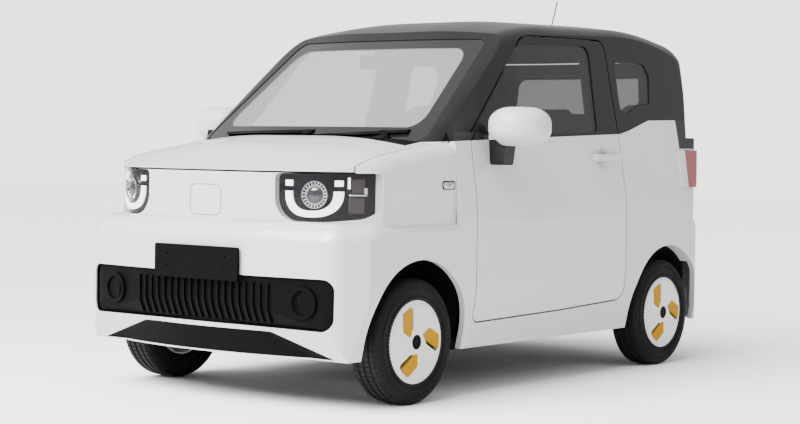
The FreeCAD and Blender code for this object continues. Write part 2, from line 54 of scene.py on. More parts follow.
Flat = tuple[float, float]
Point = tuple[float, float, float]
Colour = tuple[float, float, float]
Profile = tuple[Flat, ...]
Piece = bpy.types.Object
Material = bpy.types.Material
Node = bpy.types.Node
Socket = bpy.types.NodeSocket

AHEAD_OF_NOSE = -2.0
BEHIND_TAIL = 2.0
REARWARD: Point = (0, 1, 0)
HANDS: tuple[tuple[str, int], ...] = (("left", 1), ("right", -1))
COAT_ROUGHNESS = 0.03
GLOSS_SPREAD = 0.15
RELIEF_HEIGHT = 0.001
SHARP_ANGLE = math.radians(40)
TRACE_MERGE = 0.00001
MEND_MERGE = 0.00002
SHEET_MERGE = 0.00005
MIRROR_THICK = 0.003


# Finishes


class Board:
    """The node tree of a material or of the surround."""

    def __init__(self, owner: Material | bpy.types.World, shader: str) -> None:
        """Opens the nodes.

        Args:
            owner: What the nodes draw.
            shader: The name of its shader node.
        """
        owner.use_nodes = True
        self.tree = owner.node_tree
        self.shader = self.tree.nodes[shader]

    @cached_property
    def place(self) -> Socket:
        """The Object coordinates."""
        return self.node("TexCoord", {}).outputs["Object"]

    @cached_property
    def split(self) -> Node:
        """The node that parts the coordinates into X, Y and Z."""
        return self.node("SeparateXYZ", {"Vector": self.place})

    def fill(self, node: Node, inputs: dict[str | int, Any]) -> None:
        """Sets or feeds the inputs of a node.

        Args:
            node: The node.
            inputs: For each input its value, or the socket that feeds it.
        """
        for name, value in inputs.items():
            if isinstance(value, Socket):
                self.tree.links.new(value, node.inputs[name])
            else:
                node.inputs[name].default_value = value

    def node(self, kind: str, inputs: dict[str | int, Any], **settings: str) -> Node:
        """Adds a node.

        Args:
            kind: Its type, without the ShaderNode in front.
            inputs: For each input its value, or the socket that feeds it.
            settings: Its own settings, such as its operation.

        Returns:
            The node.
        """
        node = self.tree.nodes.new("ShaderNode" + kind)
        for name, value in settings.items():
            setattr(node, name, value)
        self.fill(node, inputs)
        return node

    def reckon(self, kind: str, *terms: Socket | float) -> Socket:
        """Adds one step of arithmetic.

        Args:
            kind: What is done, such as ADD or MAXIMUM.
            terms: What it is done to.

        Returns:
            The socket that carries the result.
        """
        return self.node("Math", dict(enumerate(terms)), operation=kind).outputs["Value"]

    def ramp(self, value: Socket, span: Flat = (0, 1), result: Flat = (0, 1)) -> Socket:
        """Turns one span of values into another.

        Args:
            value: What is read.
            span: The values at the two ends.
            result: What becomes of them.

        Returns:
            The socket that carries the result.
        """
        ends = zip(("From Min", "From Max", "To Min", "To Max"), (*span, *result))
        return self.node("MapRange", {"Value": value, **dict(ends)}).outputs["Result"]

    def mixed(self, amount: Socket, first: Any, second: Any) -> Socket:
        """Mixes two colours.

        Args:
            amount: How much there is of the second.
            first: The first colour, or the socket that carries it.
            second: The second colour.

        Returns:
            The socket that carries the mixture.
        """
        inputs = {"Factor": amount, "A": first, "B": second}
        return self.node("Mix", inputs, data_type="RGBA").outputs["Result"]

    def paint_over(self, mask: Socket, colour: Colour) -> None:
        """Lays a second colour over the surface's own.

        Args:
            mask: Where the second colour shows.
            colour: The second colour.
        """
        own = self.shader.inputs["Base Color"].links[0].from_socket
        self.fill(self.shader, {"Base Color": self.mixed(mask, own, (*colour, 1))})


class Grain(Enum):
    """What the fine relief of a finish looks like."""

    ORANGE_PEEL = "orange_peel"
    LEATHER = "leather"
    WEAVE = "weave"
    CAST = "cast"
    BRUSHED = "brushed"
    RIBBED = "ribbed"


Relief = tuple[Grain, float, float]


@dataclass(frozen=True)
class Frit:
    """The black band printed round the edge of a window, seen from the front."""

    half_low: float
    narrowing: float
    low: float
    high: float
    radius: float
    fade: float = 0.0015
    ink: Colour = (0.008, 0.008, 0.009)

    def print_on(self, board: Board, alpha: float) -> None:
        """Makes the glass black outside the clear middle.

        Args:
            board: The material's nodes.
            alpha: How solid the clear middle is.
        """
        x, z = (board.split.outputs[axis] for axis in "XZ")
        above = board.reckon("SUBTRACT", z, self.low)
        lean_in = board.reckon("MULTIPLY", above, self.narrowing)
        half = board.reckon("SUBTRACT", self.half_low - self.radius, lean_in)
        from_middle = board.reckon("SUBTRACT", z, (self.low + self.high) / 2)
        reach = (self.high - self.low) / 2 - self.radius
        squares = []
        for place, limit in ((x, half), (from_middle, reach)):
            past = board.reckon("SUBTRACT", board.reckon("ABSOLUTE", place), limit)
            past = board.reckon("MAXIMUM", past, 0.0)
            squares.append(board.reckon("MULTIPLY", past, past))
        away = board.reckon("SQRT", board.reckon("ADD", *squares))
        band = board.ramp(away, (self.radius, self.radius + self.fade))
        board.fill(board.shader, {"Alpha": board.ramp(band, result=(alpha, 1))})
        board.paint_over(band, self.ink)


@dataclass(frozen=True)
class SecondColour:
    """The part of a panel that wears a second colour, bounded by planes."""

    colour: Colour
    limits: tuple[tuple[str, float, float], ...]
    edge: float = 0.0012

    def paint_on(self, board: Board) -> None:
        """Paints the bounded part in the second colour.

        Args:
            board: The material's nodes.
        """
        sources = {axis: board.split.outputs[axis] for axis in "XYZ"}
        sources["X"] = board.reckon("ABSOLUTE", sources["X"])
        mask, *others = (board.ramp(sources[axis], (start, start + side * self.edge))
                         for axis, start, side in self.limits)
        for other in others:
            mask = board.reckon("MULTIPLY", mask, other)
        board.paint_over(mask, self.colour)


@dataclass(frozen=True)
class Pattern:
    """A texture node that gives the height of a fine relief."""

    kind: str
    result: str = "Fac"
    settings: dict[str, str] = field(default_factory=dict)
    values: dict[str, float] = field(default_factory=dict)
    stretch: Point | None = None

    def height(self, board: Board, size: float) -> Socket:
        """Draws the relief.

        Args:
            board: The material's nodes.
            size: How fine the relief is.

        Returns:
            The socket that carries the height.
        """
        place = board.place
        if self.stretch:
            mapping = board.node("Mapping", {"Scale": self.stretch, "Vector": place})
            place = mapping.outputs["Vector"]
        inputs = {"Scale": size, "Vector": place, **self.values}
        return board.node(self.kind, inputs, **self.settings).outputs[self.result]


FINE_NOISE = Pattern("TexNoise", values={"Detail": 3})
PATTERNS: dict[Grain, tuple[Pattern, ...]] = {
    Grain.ORANGE_PEEL: (FINE_NOISE,),
    Grain.CAST: (FINE_NOISE,),
    Grain.LEATHER: (Pattern("TexVoronoi", "Distance", {"feature": "SMOOTH_F1"}),),
    Grain.WEAVE: tuple(
        Pattern("TexWave", settings={"bands_direction": axis}, values={"Distortion": 0.6})
        for axis in "XZ"),
    Grain.BRUSHED: (Pattern("TexNoise", stretch=(0.05, 1, 1)),),
    Grain.RIBBED: (Pattern("TexWave", settings={"bands_direction": "DIAGONAL"}),),
}


@dataclass(frozen=True)
class Finish:
    """One finish: its colour, gloss and fine relief."""

    name: str
    colour: Colour
    roughness: float = 0.4
    slot: str = ""
    metallic: float = 0.0
    coat: float = 0.0
    alpha: float = 1.0
    glow: float = 0.0
    sheen: float = 0.0
    relief: Relief | None = None
    tone_spread: float = 0.04
    tone_scale: float = 9.0
    specular: float = 0.5
    frit: Frit | None = None
    second: SecondColour | None = None

    @cache
    def build(self) -> Material:
        """Makes the Blender material at the first call and hands it out again later.

        Returns:
            The material with all its nodes.
        """
        material = bpy.data.materials.new("finish_" + self.name)
        board = Board(material, "Principled BSDF")
        inputs = {
            "Metallic": self.metallic, "Coat Weight": self.coat, "Alpha": self.alpha,
            "Coat Roughness": COAT_ROUGHNESS, "Roughness": self.roughness,
            "Sheen Weight": self.sheen, "Specular IOR Level": self.specular}
        if self.glow:
            inputs |= {"Emission Color": (*self.colour, 1), "Emission Strength": self.glow}
        board.fill(board.shader, inputs)
        self._tone(board)
        self._relief(board)
        if self.frit:
            self.frit.print_on(board, self.alpha)
        if self.second:
            self.second.paint_on(board)
        return material

    def _tone(self, board: Board) -> None:
        """Breaks the colour and the gloss with a soft large noise.

        Args:
            board: The material's nodes.
        """
        inputs = {"Scale": self.tone_scale, "Detail": 4, "Vector": board.place}
        noise = board.node("TexNoise", inputs).outputs["Fac"]
        low, high = (
            (*(part * (1 + spread) for part in self.colour), 1)
            for spread in (-self.tone_spread, self.tone_spread))
        gloss = tuple(self.roughness * (1 + spread) for spread in (-GLOSS_SPREAD, GLOSS_SPREAD))
        board.fill(board.shader, {
            "Base Color": board.mixed(noise, low, high),
            "Roughness": board.ramp(noise, result=gloss)})

    def _relief(self, board: Board) -> None:
        """Adds the fine relief as a bump.

        Args:
            board: The material's nodes.
        """
        if not self.relief:
            return
        grain, size, depth = self.relief
        height, *others = (pattern.height(board, size) for pattern in PATTERNS[grain])
        for other in others:
            height = board.reckon("ADD", height, other)
        inputs = {"Strength": depth, "Distance": RELIEF_HEIGHT, "Height": height}
        board.fill(board.shader, {"Normal": board.node("Bump", inputs).outputs["Normal"]})


SCREEN_FRIT = Frit(half_low=0.545, narrowing=0.193, low=1.118, high=1.468, radius=0.062)
GATE_FRIT = Frit(half_low=0.428, narrowing=0.20, low=1.222, high=1.40, radius=0.045)

WHITE: Colour = (0.44, 0.44, 0.437)
TWO_TONE_WHITE: Colour = (0.45, 0.45, 0.447)
BLACK: Colour = (0.006, 0.006, 0.0065)
SPRAYED: Relief = (Grain.ORANGE_PEEL, 420, 0.012)
REAR_CORNER = SecondColour(BLACK, (("Z", 1.046, 1.0), ("Y", 1.15, 1.0)))
MIRROR_ARM = SecondColour((0.003, 0.003, 0.0035), (("X", 0.792, -1.0), ("Z", 1.072, -1.0)))
LAMP_FLANK = SecondColour(WHITE, (("Y", 1.18, -1.0),))

WHITE_PAINT = Finish("white_paint", WHITE, 0.36, coat=0.6, tone_spread=0.008, relief=SPRAYED)
CORNER_PAINT = Finish(
    "corner_paint", TWO_TONE_WHITE, 0.36, coat=0.12, tone_spread=0.008, specular=0.2,
    second=REAR_CORNER, relief=SPRAYED)
MIRROR_PAINT = Finish(
    "mirror_paint", TWO_TONE_WHITE, 0.34, coat=0.12, tone_spread=0.008, specular=0.2,
    second=MIRROR_ARM, relief=SPRAYED)
BLACK_PAINT = Finish(
    "black_paint", BLACK, 0.32, coat=0.1, tone_spread=0.12, specular=0.12, relief=SPRAYED)
UNDERBODY = Finish(
    "underbody", BLACK, 0.8, relief=(Grain.CAST, 260, 0.5), tone_spread=0.3, specular=0.05)
TRIM_PLASTIC = Finish(
    "trim_plastic", (0.0016, 0.0016, 0.0018), 0.46, "dark_plastic",
    relief=(Grain.LEATHER, 1500, 0.2), tone_spread=0.15, specular=0.035)
GLOSS_PLASTIC = Finish(
    "gloss_plastic", (0.004, 0.004, 0.005), 0.16, "lamp_black", coat=0.1, tone_spread=0.2,
    specular=0.1)
CABIN_PLASTIC = Finish(
    "cabin_plastic", BLACK, 0.6, "dark_plastic", relief=(Grain.LEATHER, 900, 0.4), tone_spread=0.15,
    specular=0.1)
CHROME = Finish("chrome", (0.82, 0.83, 0.85), 0.1, "chrome", metallic=1.0, tone_spread=0.03)
STEEL = Finish(
    "steel", (0.05, 0.05, 0.055), 0.5, "steel", metallic=0.8, relief=(Grain.BRUSHED, 500, 0.3),
    tone_spread=0.25)
LAMP_WHITE = Finish(
    "lamp_white", (0.9, 0.91, 0.93), 0.25, "light_white", glow=2.2, coat=0.4, tone_spread=0.02)
CLEAR_LENS = Finish(
    "clear_lens", (0.02, 0.02, 0.022), 0.03, alpha=0.12, tone_spread=0.01, specular=0.7)
SCREEN_GLASS = Finish(
    "screen_glass", (0.30, 0.31, 0.31), 0.03, alpha=0.34, tone_spread=0.02, frit=SCREEN_FRIT)
REAR_GLASS = Finish(
    "rear_glass", (0.012, 0.013, 0.014), 0.03, alpha=0.5, tone_spread=0.02, frit=GATE_FRIT)
SIDE_GLASS = Finish(
    "side_glass", (0.010, 0.011, 0.012), 0.03, alpha=0.5, specular=0.6, tone_spread=0.02)
RED_LENS = Finish(
    "red_lens", (0.16, 0.002, 0.003), 0.1, coat=0.8, relief=(Grain.RIBBED, 60, 0.3),
    tone_spread=0.1, second=LAMP_FLANK)
SEAT_CLOTH = Finish(
    "seat_cloth", (0.02, 0.02, 0.023), 0.85, "seat_cloth", sheen=0.3,
    relief=(Grain.WEAVE, 220, 0.6), tone_spread=0.3, tone_scale=60, specular=0.2)
RUBBER = Finish(
    "rubber", (0.009, 0.009, 0.0095), 0.62, "tyre", relief=(Grain.CAST, 700, 0.3), tone_spread=0.25,
    specular=0.12)
COVER_WHITE = Finish(
    "cover_white", (0.50, 0.50, 0.497), 0.3, coat=0.6, relief=(Grain.ORANGE_PEEL, 500, 0.02),
    tone_spread=0.015)
BLADE_YELLOW = Finish("blade_yellow", (0.34, 0.165, 0.0), 0.5, tone_spread=0.05, specular=0.05)
REPEATER_LENS = Finish(
    "repeater_lens", (0.35, 0.35, 0.36), 0.08, "clear_lens", metallic=0.6, coat=1.0,
    relief=(Grain.RIBBED, 90, 0.3), tone_spread=0.2)
AMBER = Finish("amber", (0.25, 0.13, 0.10), 0.2, "light_white", coat=0.8, tone_spread=0.3)
LENS_DARK = Finish("lens_dark", (0.02, 0.02, 0.025), 0.03, "lamp_black", coat=1.0, tone_spread=0.3)
SIGNAL_REFLECTOR = Finish(
    "signal_reflector", (0.028, 0.019, 0.021), 0.35, "chrome", metallic=0.3,
    relief=(Grain.RIBBED, 70, 0.5), tone_spread=0.3, tone_scale=40)
REFLECTOR_RED = Finish(
    "reflector_red", (0.20, 0.003, 0.005), 0.12, "red_lens", coat=1.0,
    relief=(Grain.RIBBED, 120, 0.4), tone_spread=0.2)
BACKING = Finish(
    "backing", (0.004, 0.004, 0.004), 0.85, "dark_plastic", relief=(Grain.CAST, 300, 0.3),
    tone_spread=0.3, specular=0.05)
MIRROR_GLASS = Finish(
    "mirror_glass", (0.75, 0.78, 0.8), 0.03, "chrome", metallic=1.0, tone_spread=0.01)
FLOOR_PAINT = Finish("studio_floor", (0.88, 0.88, 0.88), 0.7, tone_spread=0.005, tone_scale=0.5)


# Bench tools


def clear_selection() -> None:
    """Leaves edit mode and deselects every object."""
    if bpy.context.object and bpy.context.object.mode != "OBJECT":
        bpy.ops.object.mode_set(mode="OBJECT")
    bpy.ops.object.select_all(action="DESELECT")


def take(obj: Piece) -> None:
    """Makes an object the only selected and the active one.

    Args:
        obj: The object to work on.
    """
    clear_selection()
    obj.select_set(True)
    bpy.context.view_layer.objects.active = obj


@contextmanager
def editing(obj: Piece) -> Iterator[None]:
    """Opens a piece for editing, all of it selected, and closes it afterwards.

    Args:
        obj: The piece.

    Yields:
        Nothing; mesh operators work on the piece meanwhile.
    """
    take(obj)
    bpy.ops.object.mode_set(mode="EDIT")
    bpy.ops.mesh.select_all(action="SELECT")
    yield
    bpy.ops.object.mode_set(mode="OBJECT")


def modified(obj: Piece, kind: str, **settings: Any) -> Piece:
    """Applies a modifier to a piece.

    Args:
        obj: The piece.
        kind: The modifier's type.
        settings: Its settings.

    Returns:
        The same piece.
    """
    modifier = obj.modifiers.new(kind.lower(), kind)
    for name, value in settings.items():
        setattr(modifier, name, value)
    take(obj)
    bpy.ops.object.modifier_apply(modifier=modifier.name)
    return obj


def dress(finish: Finish, *nodes: str) -> None:
    """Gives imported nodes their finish.

    Args:
        finish: The finish.
        nodes: The names of the nodes that get it.
    """
    for node in nodes:
        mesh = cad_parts[node].data
        mesh.materials.clear()
        mesh.materials.append(finish.build())
        log.info("dressed %s in %s", node, finish.name)


def seat_piece(
        obj: Piece, name: str, finish: Finish, body: str = "body", replaces: str = "") -> None:
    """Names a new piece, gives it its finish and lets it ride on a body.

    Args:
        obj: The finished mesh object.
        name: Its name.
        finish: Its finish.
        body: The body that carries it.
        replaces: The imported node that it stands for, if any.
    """
    take(obj)
    bpy.ops.object.transform_apply(location=True, rotation=True, scale=True)
    obj.name = name
    obj.data.name = name
    obj.data.materials.clear()
    obj.data.materials.append(finish.build())
    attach(obj, body)
    if replaces:
        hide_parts(replaces)
    log.info("made %s on %s: %d faces", name, body, len(obj.data.polygons))


def seat_pair(
        obj: Piece, name: str, finish: Finish, body: str = "body", replaces: str = "") -> None:
    """Seats a left piece and its mirror image; {} stands for the hand.

    Args:
        obj: The left piece.
        name: The name of both, without the hand.
        finish: Their finish.
        body: The body that carries each.
        replaces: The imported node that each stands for, if any.
    """
    for made, (hand, _) in zip((obj, mirror_copy(obj)), HANDS):
        seat_piece(made, f"{name}_{hand}", finish, body.format(hand), replaces.format(hand))


def smooth(obj: Piece, degrees: float = 35) -> None:
    """Shades a piece smooth below an angle.

    Args:
        obj: The piece.
        degrees: The angle from which an edge stays sharp.
    """
    take(obj)
    bpy.ops.object.shade_smooth_by_angle(angle=math.radians(degrees))


def copied(obj: Piece, move: Matrix) -> Piece:
    """Copies a piece and moves the copy's mesh.

    Args:
        obj: The piece, which stays as it is.
        move: How the copy's mesh is moved.

    Returns:
        The copy.
    """
    copy = obj.copy()
    copy.data = obj.data.copy()
    bpy.context.scene.collection.objects.link(copy)
    copy.data.transform(move)
    return copy


def mirror_copy(obj: Piece) -> Piece:
    """Copies a piece with its mesh mirrored across X, in its own coordinates.

    Args:
        obj: The piece, which stays as it is.

    Returns:
        The mirrored copy.
    """
    copy = copied(obj, Matrix.Scale(-1, 4, Vector((1, 0, 0))))
    with editing(copy):
        bpy.ops.mesh.flip_normals()
    return copy


def joined(pieces: Sequence[Piece]) -> Piece:
    """Joins pieces into the first one.

    Args:
        pieces: The pieces to join.

    Returns:
        The one object that holds them all.
    """
    clear_selection()
    for piece in pieces:
        piece.select_set(True)
    bpy.context.view_layer.objects.active = pieces[0]
    if len(pieces) > 1:
        bpy.ops.object.join()
    return bpy.context.object


def mend(obj: Piece) -> Piece:
    """Merges double points and turns every face outward.

    Args:
        obj: The piece.

    Returns:
        The same piece.
    """
    with editing(obj):
        bpy.ops.mesh.remove_doubles(threshold=MEND_MERGE)
        bpy.ops.mesh.normals_make_consistent(inside=False)
    return obj


def traced(points: Sequence[Point]) -> Piece:
    """Draws a closed loop by extruding one point along it.

    Args:
        points: The corners of the loop.

    Returns:
        The loop, left in edit mode with everything selected.
    """
    clear_selection()
    bpy.ops.mesh.primitive_plane_add(size=0.01, location=(0, 0, 0))
    obj = bpy.context.object
    bpy.ops.object.mode_set(mode="EDIT")
    bpy.ops.mesh.select_all(action="SELECT")
    bpy.ops.mesh.merge(type="CENTER")
    bpy.ops.transform.translate(value=points[0])
    for here, there in zip(points, list(points[1:]) + [points[0]]):
        step = tuple(b - a for a, b in zip(here, there))
        bpy.ops.mesh.extrude_region_move(TRANSFORM_OT_translate={"value": step})
    bpy.ops.mesh.select_all(action="SELECT")
    bpy.ops.mesh.remove_doubles(threshold=TRACE_MERGE)
    return obj


def slab(
        points: Sequence[Point], reach: Point, round_edge: float = 0.0, segments: int = 2) -> Piece:
    """A plate with a drawn outline, its edges rounded.

    Args:
        points: The corners of its outline.
        reach: How far and where the outline is extruded.
        round_edge: The width of the rounded edges.
        segments: Facets across a rounded edge.

    Returns:
        The closed plate.
    """
    obj = traced(points)
    bpy.ops.mesh.edge_face_add()
    bpy.ops.mesh.extrude_region_move(TRANSFORM_OT_translate={"value": reach})
    bpy.ops.object.mode_set(mode="OBJECT")
    mend(obj)
    if round_edge:
        modified(obj, "BEVEL", width=round_edge, segments=segments, limit_method="ANGLE",
                 angle_limit=SHARP_ANGLE)
    return obj


def block(low: Point, high: Point, round_edge: float = 0.0, segments: int = 2) -> Piece:
    """A box between two corners, its edges rounded.

    Args:
        low: The lowest corner.
        high: The highest corner.
        round_edge: The width of the rounded edges.
        segments: Facets across a rounded edge.

    Returns:
        The box.
    """
    (x0, y0, z0), (x1, y1, z1) = low, high
    corners = ((x0, y0, z0), (x1, y0, z0), (x1, y1, z0), (x0, y1, z0))
    return slab(corners, (0, 0, z1 - z0), round_edge, segments)


def rounded_corners(corners: Sequence[Flat], radius: float, steps: int = 5) -> list[Flat]:
    """Rounds the corners of a flat outline.

    Args:
        corners: The sharp corners.
        radius: The radius of every corner.
        steps: Facets round each corner.

    Returns:
        The outline with arcs for corners.
    """
    made: list[Flat] = []
    flat = [Vector(c) for c in corners]
    for i, corner in enumerate(flat):
        before = (flat[i - 1] - corner).normalized()
        after = (flat[(i + 1) % len(flat)] - corner).normalized()
        half = before.angle(after) / 2
        start = corner + before * radius / math.tan(half)
        end = corner + after * radius / math.tan(half)
        centre = corner + (before + after).normalized() * radius / math.sin(half)
        for k in range(steps + 1):
            arm = (start - centre).lerp(end - centre, k / steps).normalized() * radius
            made.append(tuple(centre + arm))
    return made


def rectangle(low: Flat, high: Flat, radius: float, steps: int = 5) -> list[Flat]:
    """The outline of a rectangle with rounded corners.

    Args:
        low: Its lowest corner.
        high: Its highest corner.
        radius: The radius of its corners.
        steps: Facets round each corner.

    Returns:
        The outline.
    """
    (x0, y0), (x1, y1) = low, high
    return rounded_corners(((x0, y0), (x1, y0), (x1, y1), (x0, y1)), radius, steps)


def pane(outline: Sequence[Flat], y: float, thickness: float, edge: float = 0.001) -> Piece:
    """An upright plate that stands across the car.

    Args:
        outline: Its outline, across and up.
        y: Where its front face stands.
        thickness: Its thickness.
        edge: The width of its rounded edges.

    Returns:
        The closed plate.
    """
    return slab([(x, y, z) for x, z in outline], (0, thickness, 0), edge)


def turned(points: Sequence[Flat], centre: Point, steps: int, axis: str = "X") -> Piece:
    """Turns a profile about an axis through a centre.

    Args:
        points: The closed profile as (along, radius), in metres.
        centre: A point on the axis.
        steps: Facets round the piece.
        axis: X or Y.

    Returns:
        The closed turned piece.
    """
    along = {"X": Vector((1, 0, 0)), "Y": Vector((0, 1, 0))}[axis]
    corners = [tuple(Vector(centre) + along * u + Vector((0, 0, radius))) for u, radius in points]
    obj = traced(corners)
    bpy.ops.mesh.spin(steps=steps, angle=2 * math.pi, center=centre, axis=tuple(along))
    bpy.ops.object.mode_set(mode="OBJECT")
    return mend(obj)


def lean(obj: Piece, direction: Vector, centre: Point, axis: Point = (0, -1, 0)) -> None:
    """Turns a piece about a centre so that its axis follows a direction.

    Args:
        obj: The piece.
        direction: Where its axis points afterwards.
        centre: The point it turns about.
        axis: Where its axis points now.
    """
    turn = Vector(axis).rotation_difference(direction).to_matrix().to_4x4()
    about = Matrix.Translation(centre)
    obj.data.transform(about @ turn @ about.inverted())


def skin(node: str, start: Point, direction: Point) -> tuple[Vector, Vector]:
    """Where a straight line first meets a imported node.

    Args:
        node: The node.
        start: Where the line starts.
        direction: Where it runs.

    Returns:
        The point on the node and its outward normal.
    """
    ray = Vector(direction).normalized()
    hit, place, normal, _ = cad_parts[node].ray_cast(Vector(start), ray)
    if not hit:
        raise ValueError(f"no surface of {node} from {start}")
    return place, normal


def picked_copy(node: str, keep: Callable[[Vector, Vector], bool]) -> Piece:
    """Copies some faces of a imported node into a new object.

    Args:
        node: The node, which stays as it is.
        keep: Says for a face's centre and normal whether it is copied.

    Returns:
        The open sheet of the chosen faces.
    """
    obj = bpy.data.objects.new("sheet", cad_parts[node].data.copy())
    bpy.context.scene.collection.objects.link(obj)
    take(obj)
    if obj.data.has_custom_normals:
        bpy.ops.mesh.customdata_custom_splitnormals_clear()
    with editing(obj):
        bpy.ops.mesh.remove_doubles(threshold=SHEET_MERGE)
        bpy.ops.mesh.select_mode(type="FACE")
        bpy.ops.mesh.select_all(action="DESELECT")
    for face in obj.data.polygons:
        face.select = not keep(face.center, face.normal)
    bpy.ops.object.mode_set(mode="EDIT")
    bpy.ops.mesh.delete(type="FACE")
    bpy.ops.mesh.select_mode(type="VERT")
    bpy.ops.object.mode_set(mode="OBJECT")
    return obj


# Sub-assemblies


@dataclass
class BodyShell:
    """The painted body, its glass and its black trim."""

    repeater: Point = (1.0, -0.755, 0.881)
    root: float = 0.006
    mirror_place: Point = (0.843, -0.432, 1.127)
    mirror_turn: float = 8.0
    mirror_half: Flat = (0.093, 0.050)
    mirror_round: float = 0.046
    mirror_back: float = 0.087

    def dress(self) -> None:
        """Gives each panel its paint and each trim piece its plastic."""
        dress(WHITE_PAINT, "fender_left", "fender_right", "nose_panel", "front_bumper",
              "rear_bumper", "bonnet", "door_left", "door_right", "charge_flap")
        dress(CORNER_PAINT, "body_side_left", "body_side_right", "tailgate")
        dress(MIRROR_PAINT, "mirror_left", "mirror_right")
        dress(BLACK_PAINT, "cabin_frame", "roof_panel", "door_frame_left", "door_frame_right",
              "tailgate_frame")
        dress(TRIM_PLASTIC, "grille", "plate_bracket", "front_lip", "cowl_panel", "wipers",
              "antenna")
        dress(SCREEN_GLASS, "windscreen")
        dress(REAR_GLASS, "tailgate_glass")
        dress(SIDE_GLASS, "door_glass_left", "door_glass_right", "quarter_glass")

    def build(self) -> None:
        """Models the side repeaters and the glass of the side mirrors."""
        self._repeaters()
        self._mirror_glass()

    def _repeaters(self) -> None:
        """A small rounded lens with a bright reflector on each fender."""
        place, normal = skin("fender_left", self.repeater, (-1, 0, 0))
        rows = (
            ("rim", (0.044, 0.018), 0.01274, 0.0025, TRIM_PLASTIC),
            ("lens", (0.0395, 0.0135), 0.01274, 0.004, REPEATER_LENS),
            ("bulb", (0.012, 0.009), 0.005, 0.0045, AMBER),
        )
        for name, (half_y, half_z), radius, proud, finish in rows:
            outline = rectangle((-half_y, -half_z), (half_y, half_z), radius)
            points = [(place.x - self.root, place.y + u, place.z + v) for u, v in outline]
            piece = slab(points, (self.root + proud, 0, 0), 0.0015)
            lean(piece, normal, place, (1, 0, 0))
            smooth(piece)
            seat_pair(piece, f"repeater_{name}", finish)

    def _mirror_glass(self) -> None:
        """The glass in the back of each side mirror."""
        x, z = self.mirror_half
        outline = rectangle((-x, -z), (x, z), self.mirror_round, steps=8)
        glass = pane(outline, self.mirror_back, MIRROR_THICK)
        turn = Matrix.Rotation(math.radians(self.mirror_turn), 4, "Z")
        glass.data.transform(Matrix.Translation(self.mirror_place) @ turn)
        seat_pair(glass, "mirror_glass", MIRROR_GLASS, "door_{}")


@dataclass
class Front:
    """The lower grille's frame and the fog lamp blanks."""

    wall_x: float = 0.612
    wall_low: float = 0.330
    wall_high: float = 0.505
    wall_slant: float = 0.35
    frame_forward: float = 0.010
    frame_thick: float = 0.0035
    fog_x: float = 0.522
    fog_z: float = 0.425
    fog_ring: float = 0.056
    fog_inset: float = 0.003
    fog_turn: float = 0.42
    cup: Profile = (
        (0.030, 0.0), (0.030, 0.046), (0.001, 0.0475), (-0.0025, 0.046), (-0.0025, 0.043),
        (0.004, 0.039), (0.006, 0.034), (0.006, 0.031), (0.003, 0.028), (0.0005, 0.020),
        (-0.0005, 0.0))

    def build(self) -> None:
        """Models the frame and the blanks."""
        self._frame()
        self._blanks()

    def _is_wall(self, centre: Vector, normal: Vector) -> bool:
        """Whether a face of the grille belongs to its outer wall.

        Args:
            centre: The face's centre.
            normal: Its normal.

        Returns:
            True for a face of the outer wall.
        """
        inside = abs(centre.x) <= self.wall_x and self.wall_low <= centre.z <= self.wall_high
        return not inside and abs(normal.y) < self.wall_slant

    def _frame(self) -> None:
        """Carries the outer wall of the grille forward to the bumper's skin."""
        wall = picked_copy("grille", self._is_wall)
        wall.data.transform(Matrix.Translation((0, -self.frame_forward, 0)))
        modified(wall, "SOLIDIFY", thickness=self.frame_thick, offset=-1)
        smooth(wall)
        seat_piece(wall, "grille_frame", TRIM_PLASTIC)

    def _blanks(self) -> None:
        """A dished cup in each fog lamp ring."""
        for hand, side in HANDS:
            start = (side * (self.fog_x + self.fog_ring), AHEAD_OF_NOSE, self.fog_z)
            place, _ = skin("grille", start, REARWARD)
            centre = (side * self.fog_x, place.y + self.fog_inset, self.fog_z)
            cup = turned(self.cup, centre, 48, "Y")
            lean(cup, Vector((side * self.fog_turn, -1, 0)).normalized(), centre)
            smooth(cup)
            seat_piece(cup, f"fog_blank_{hand}", TRIM_PLASTIC)


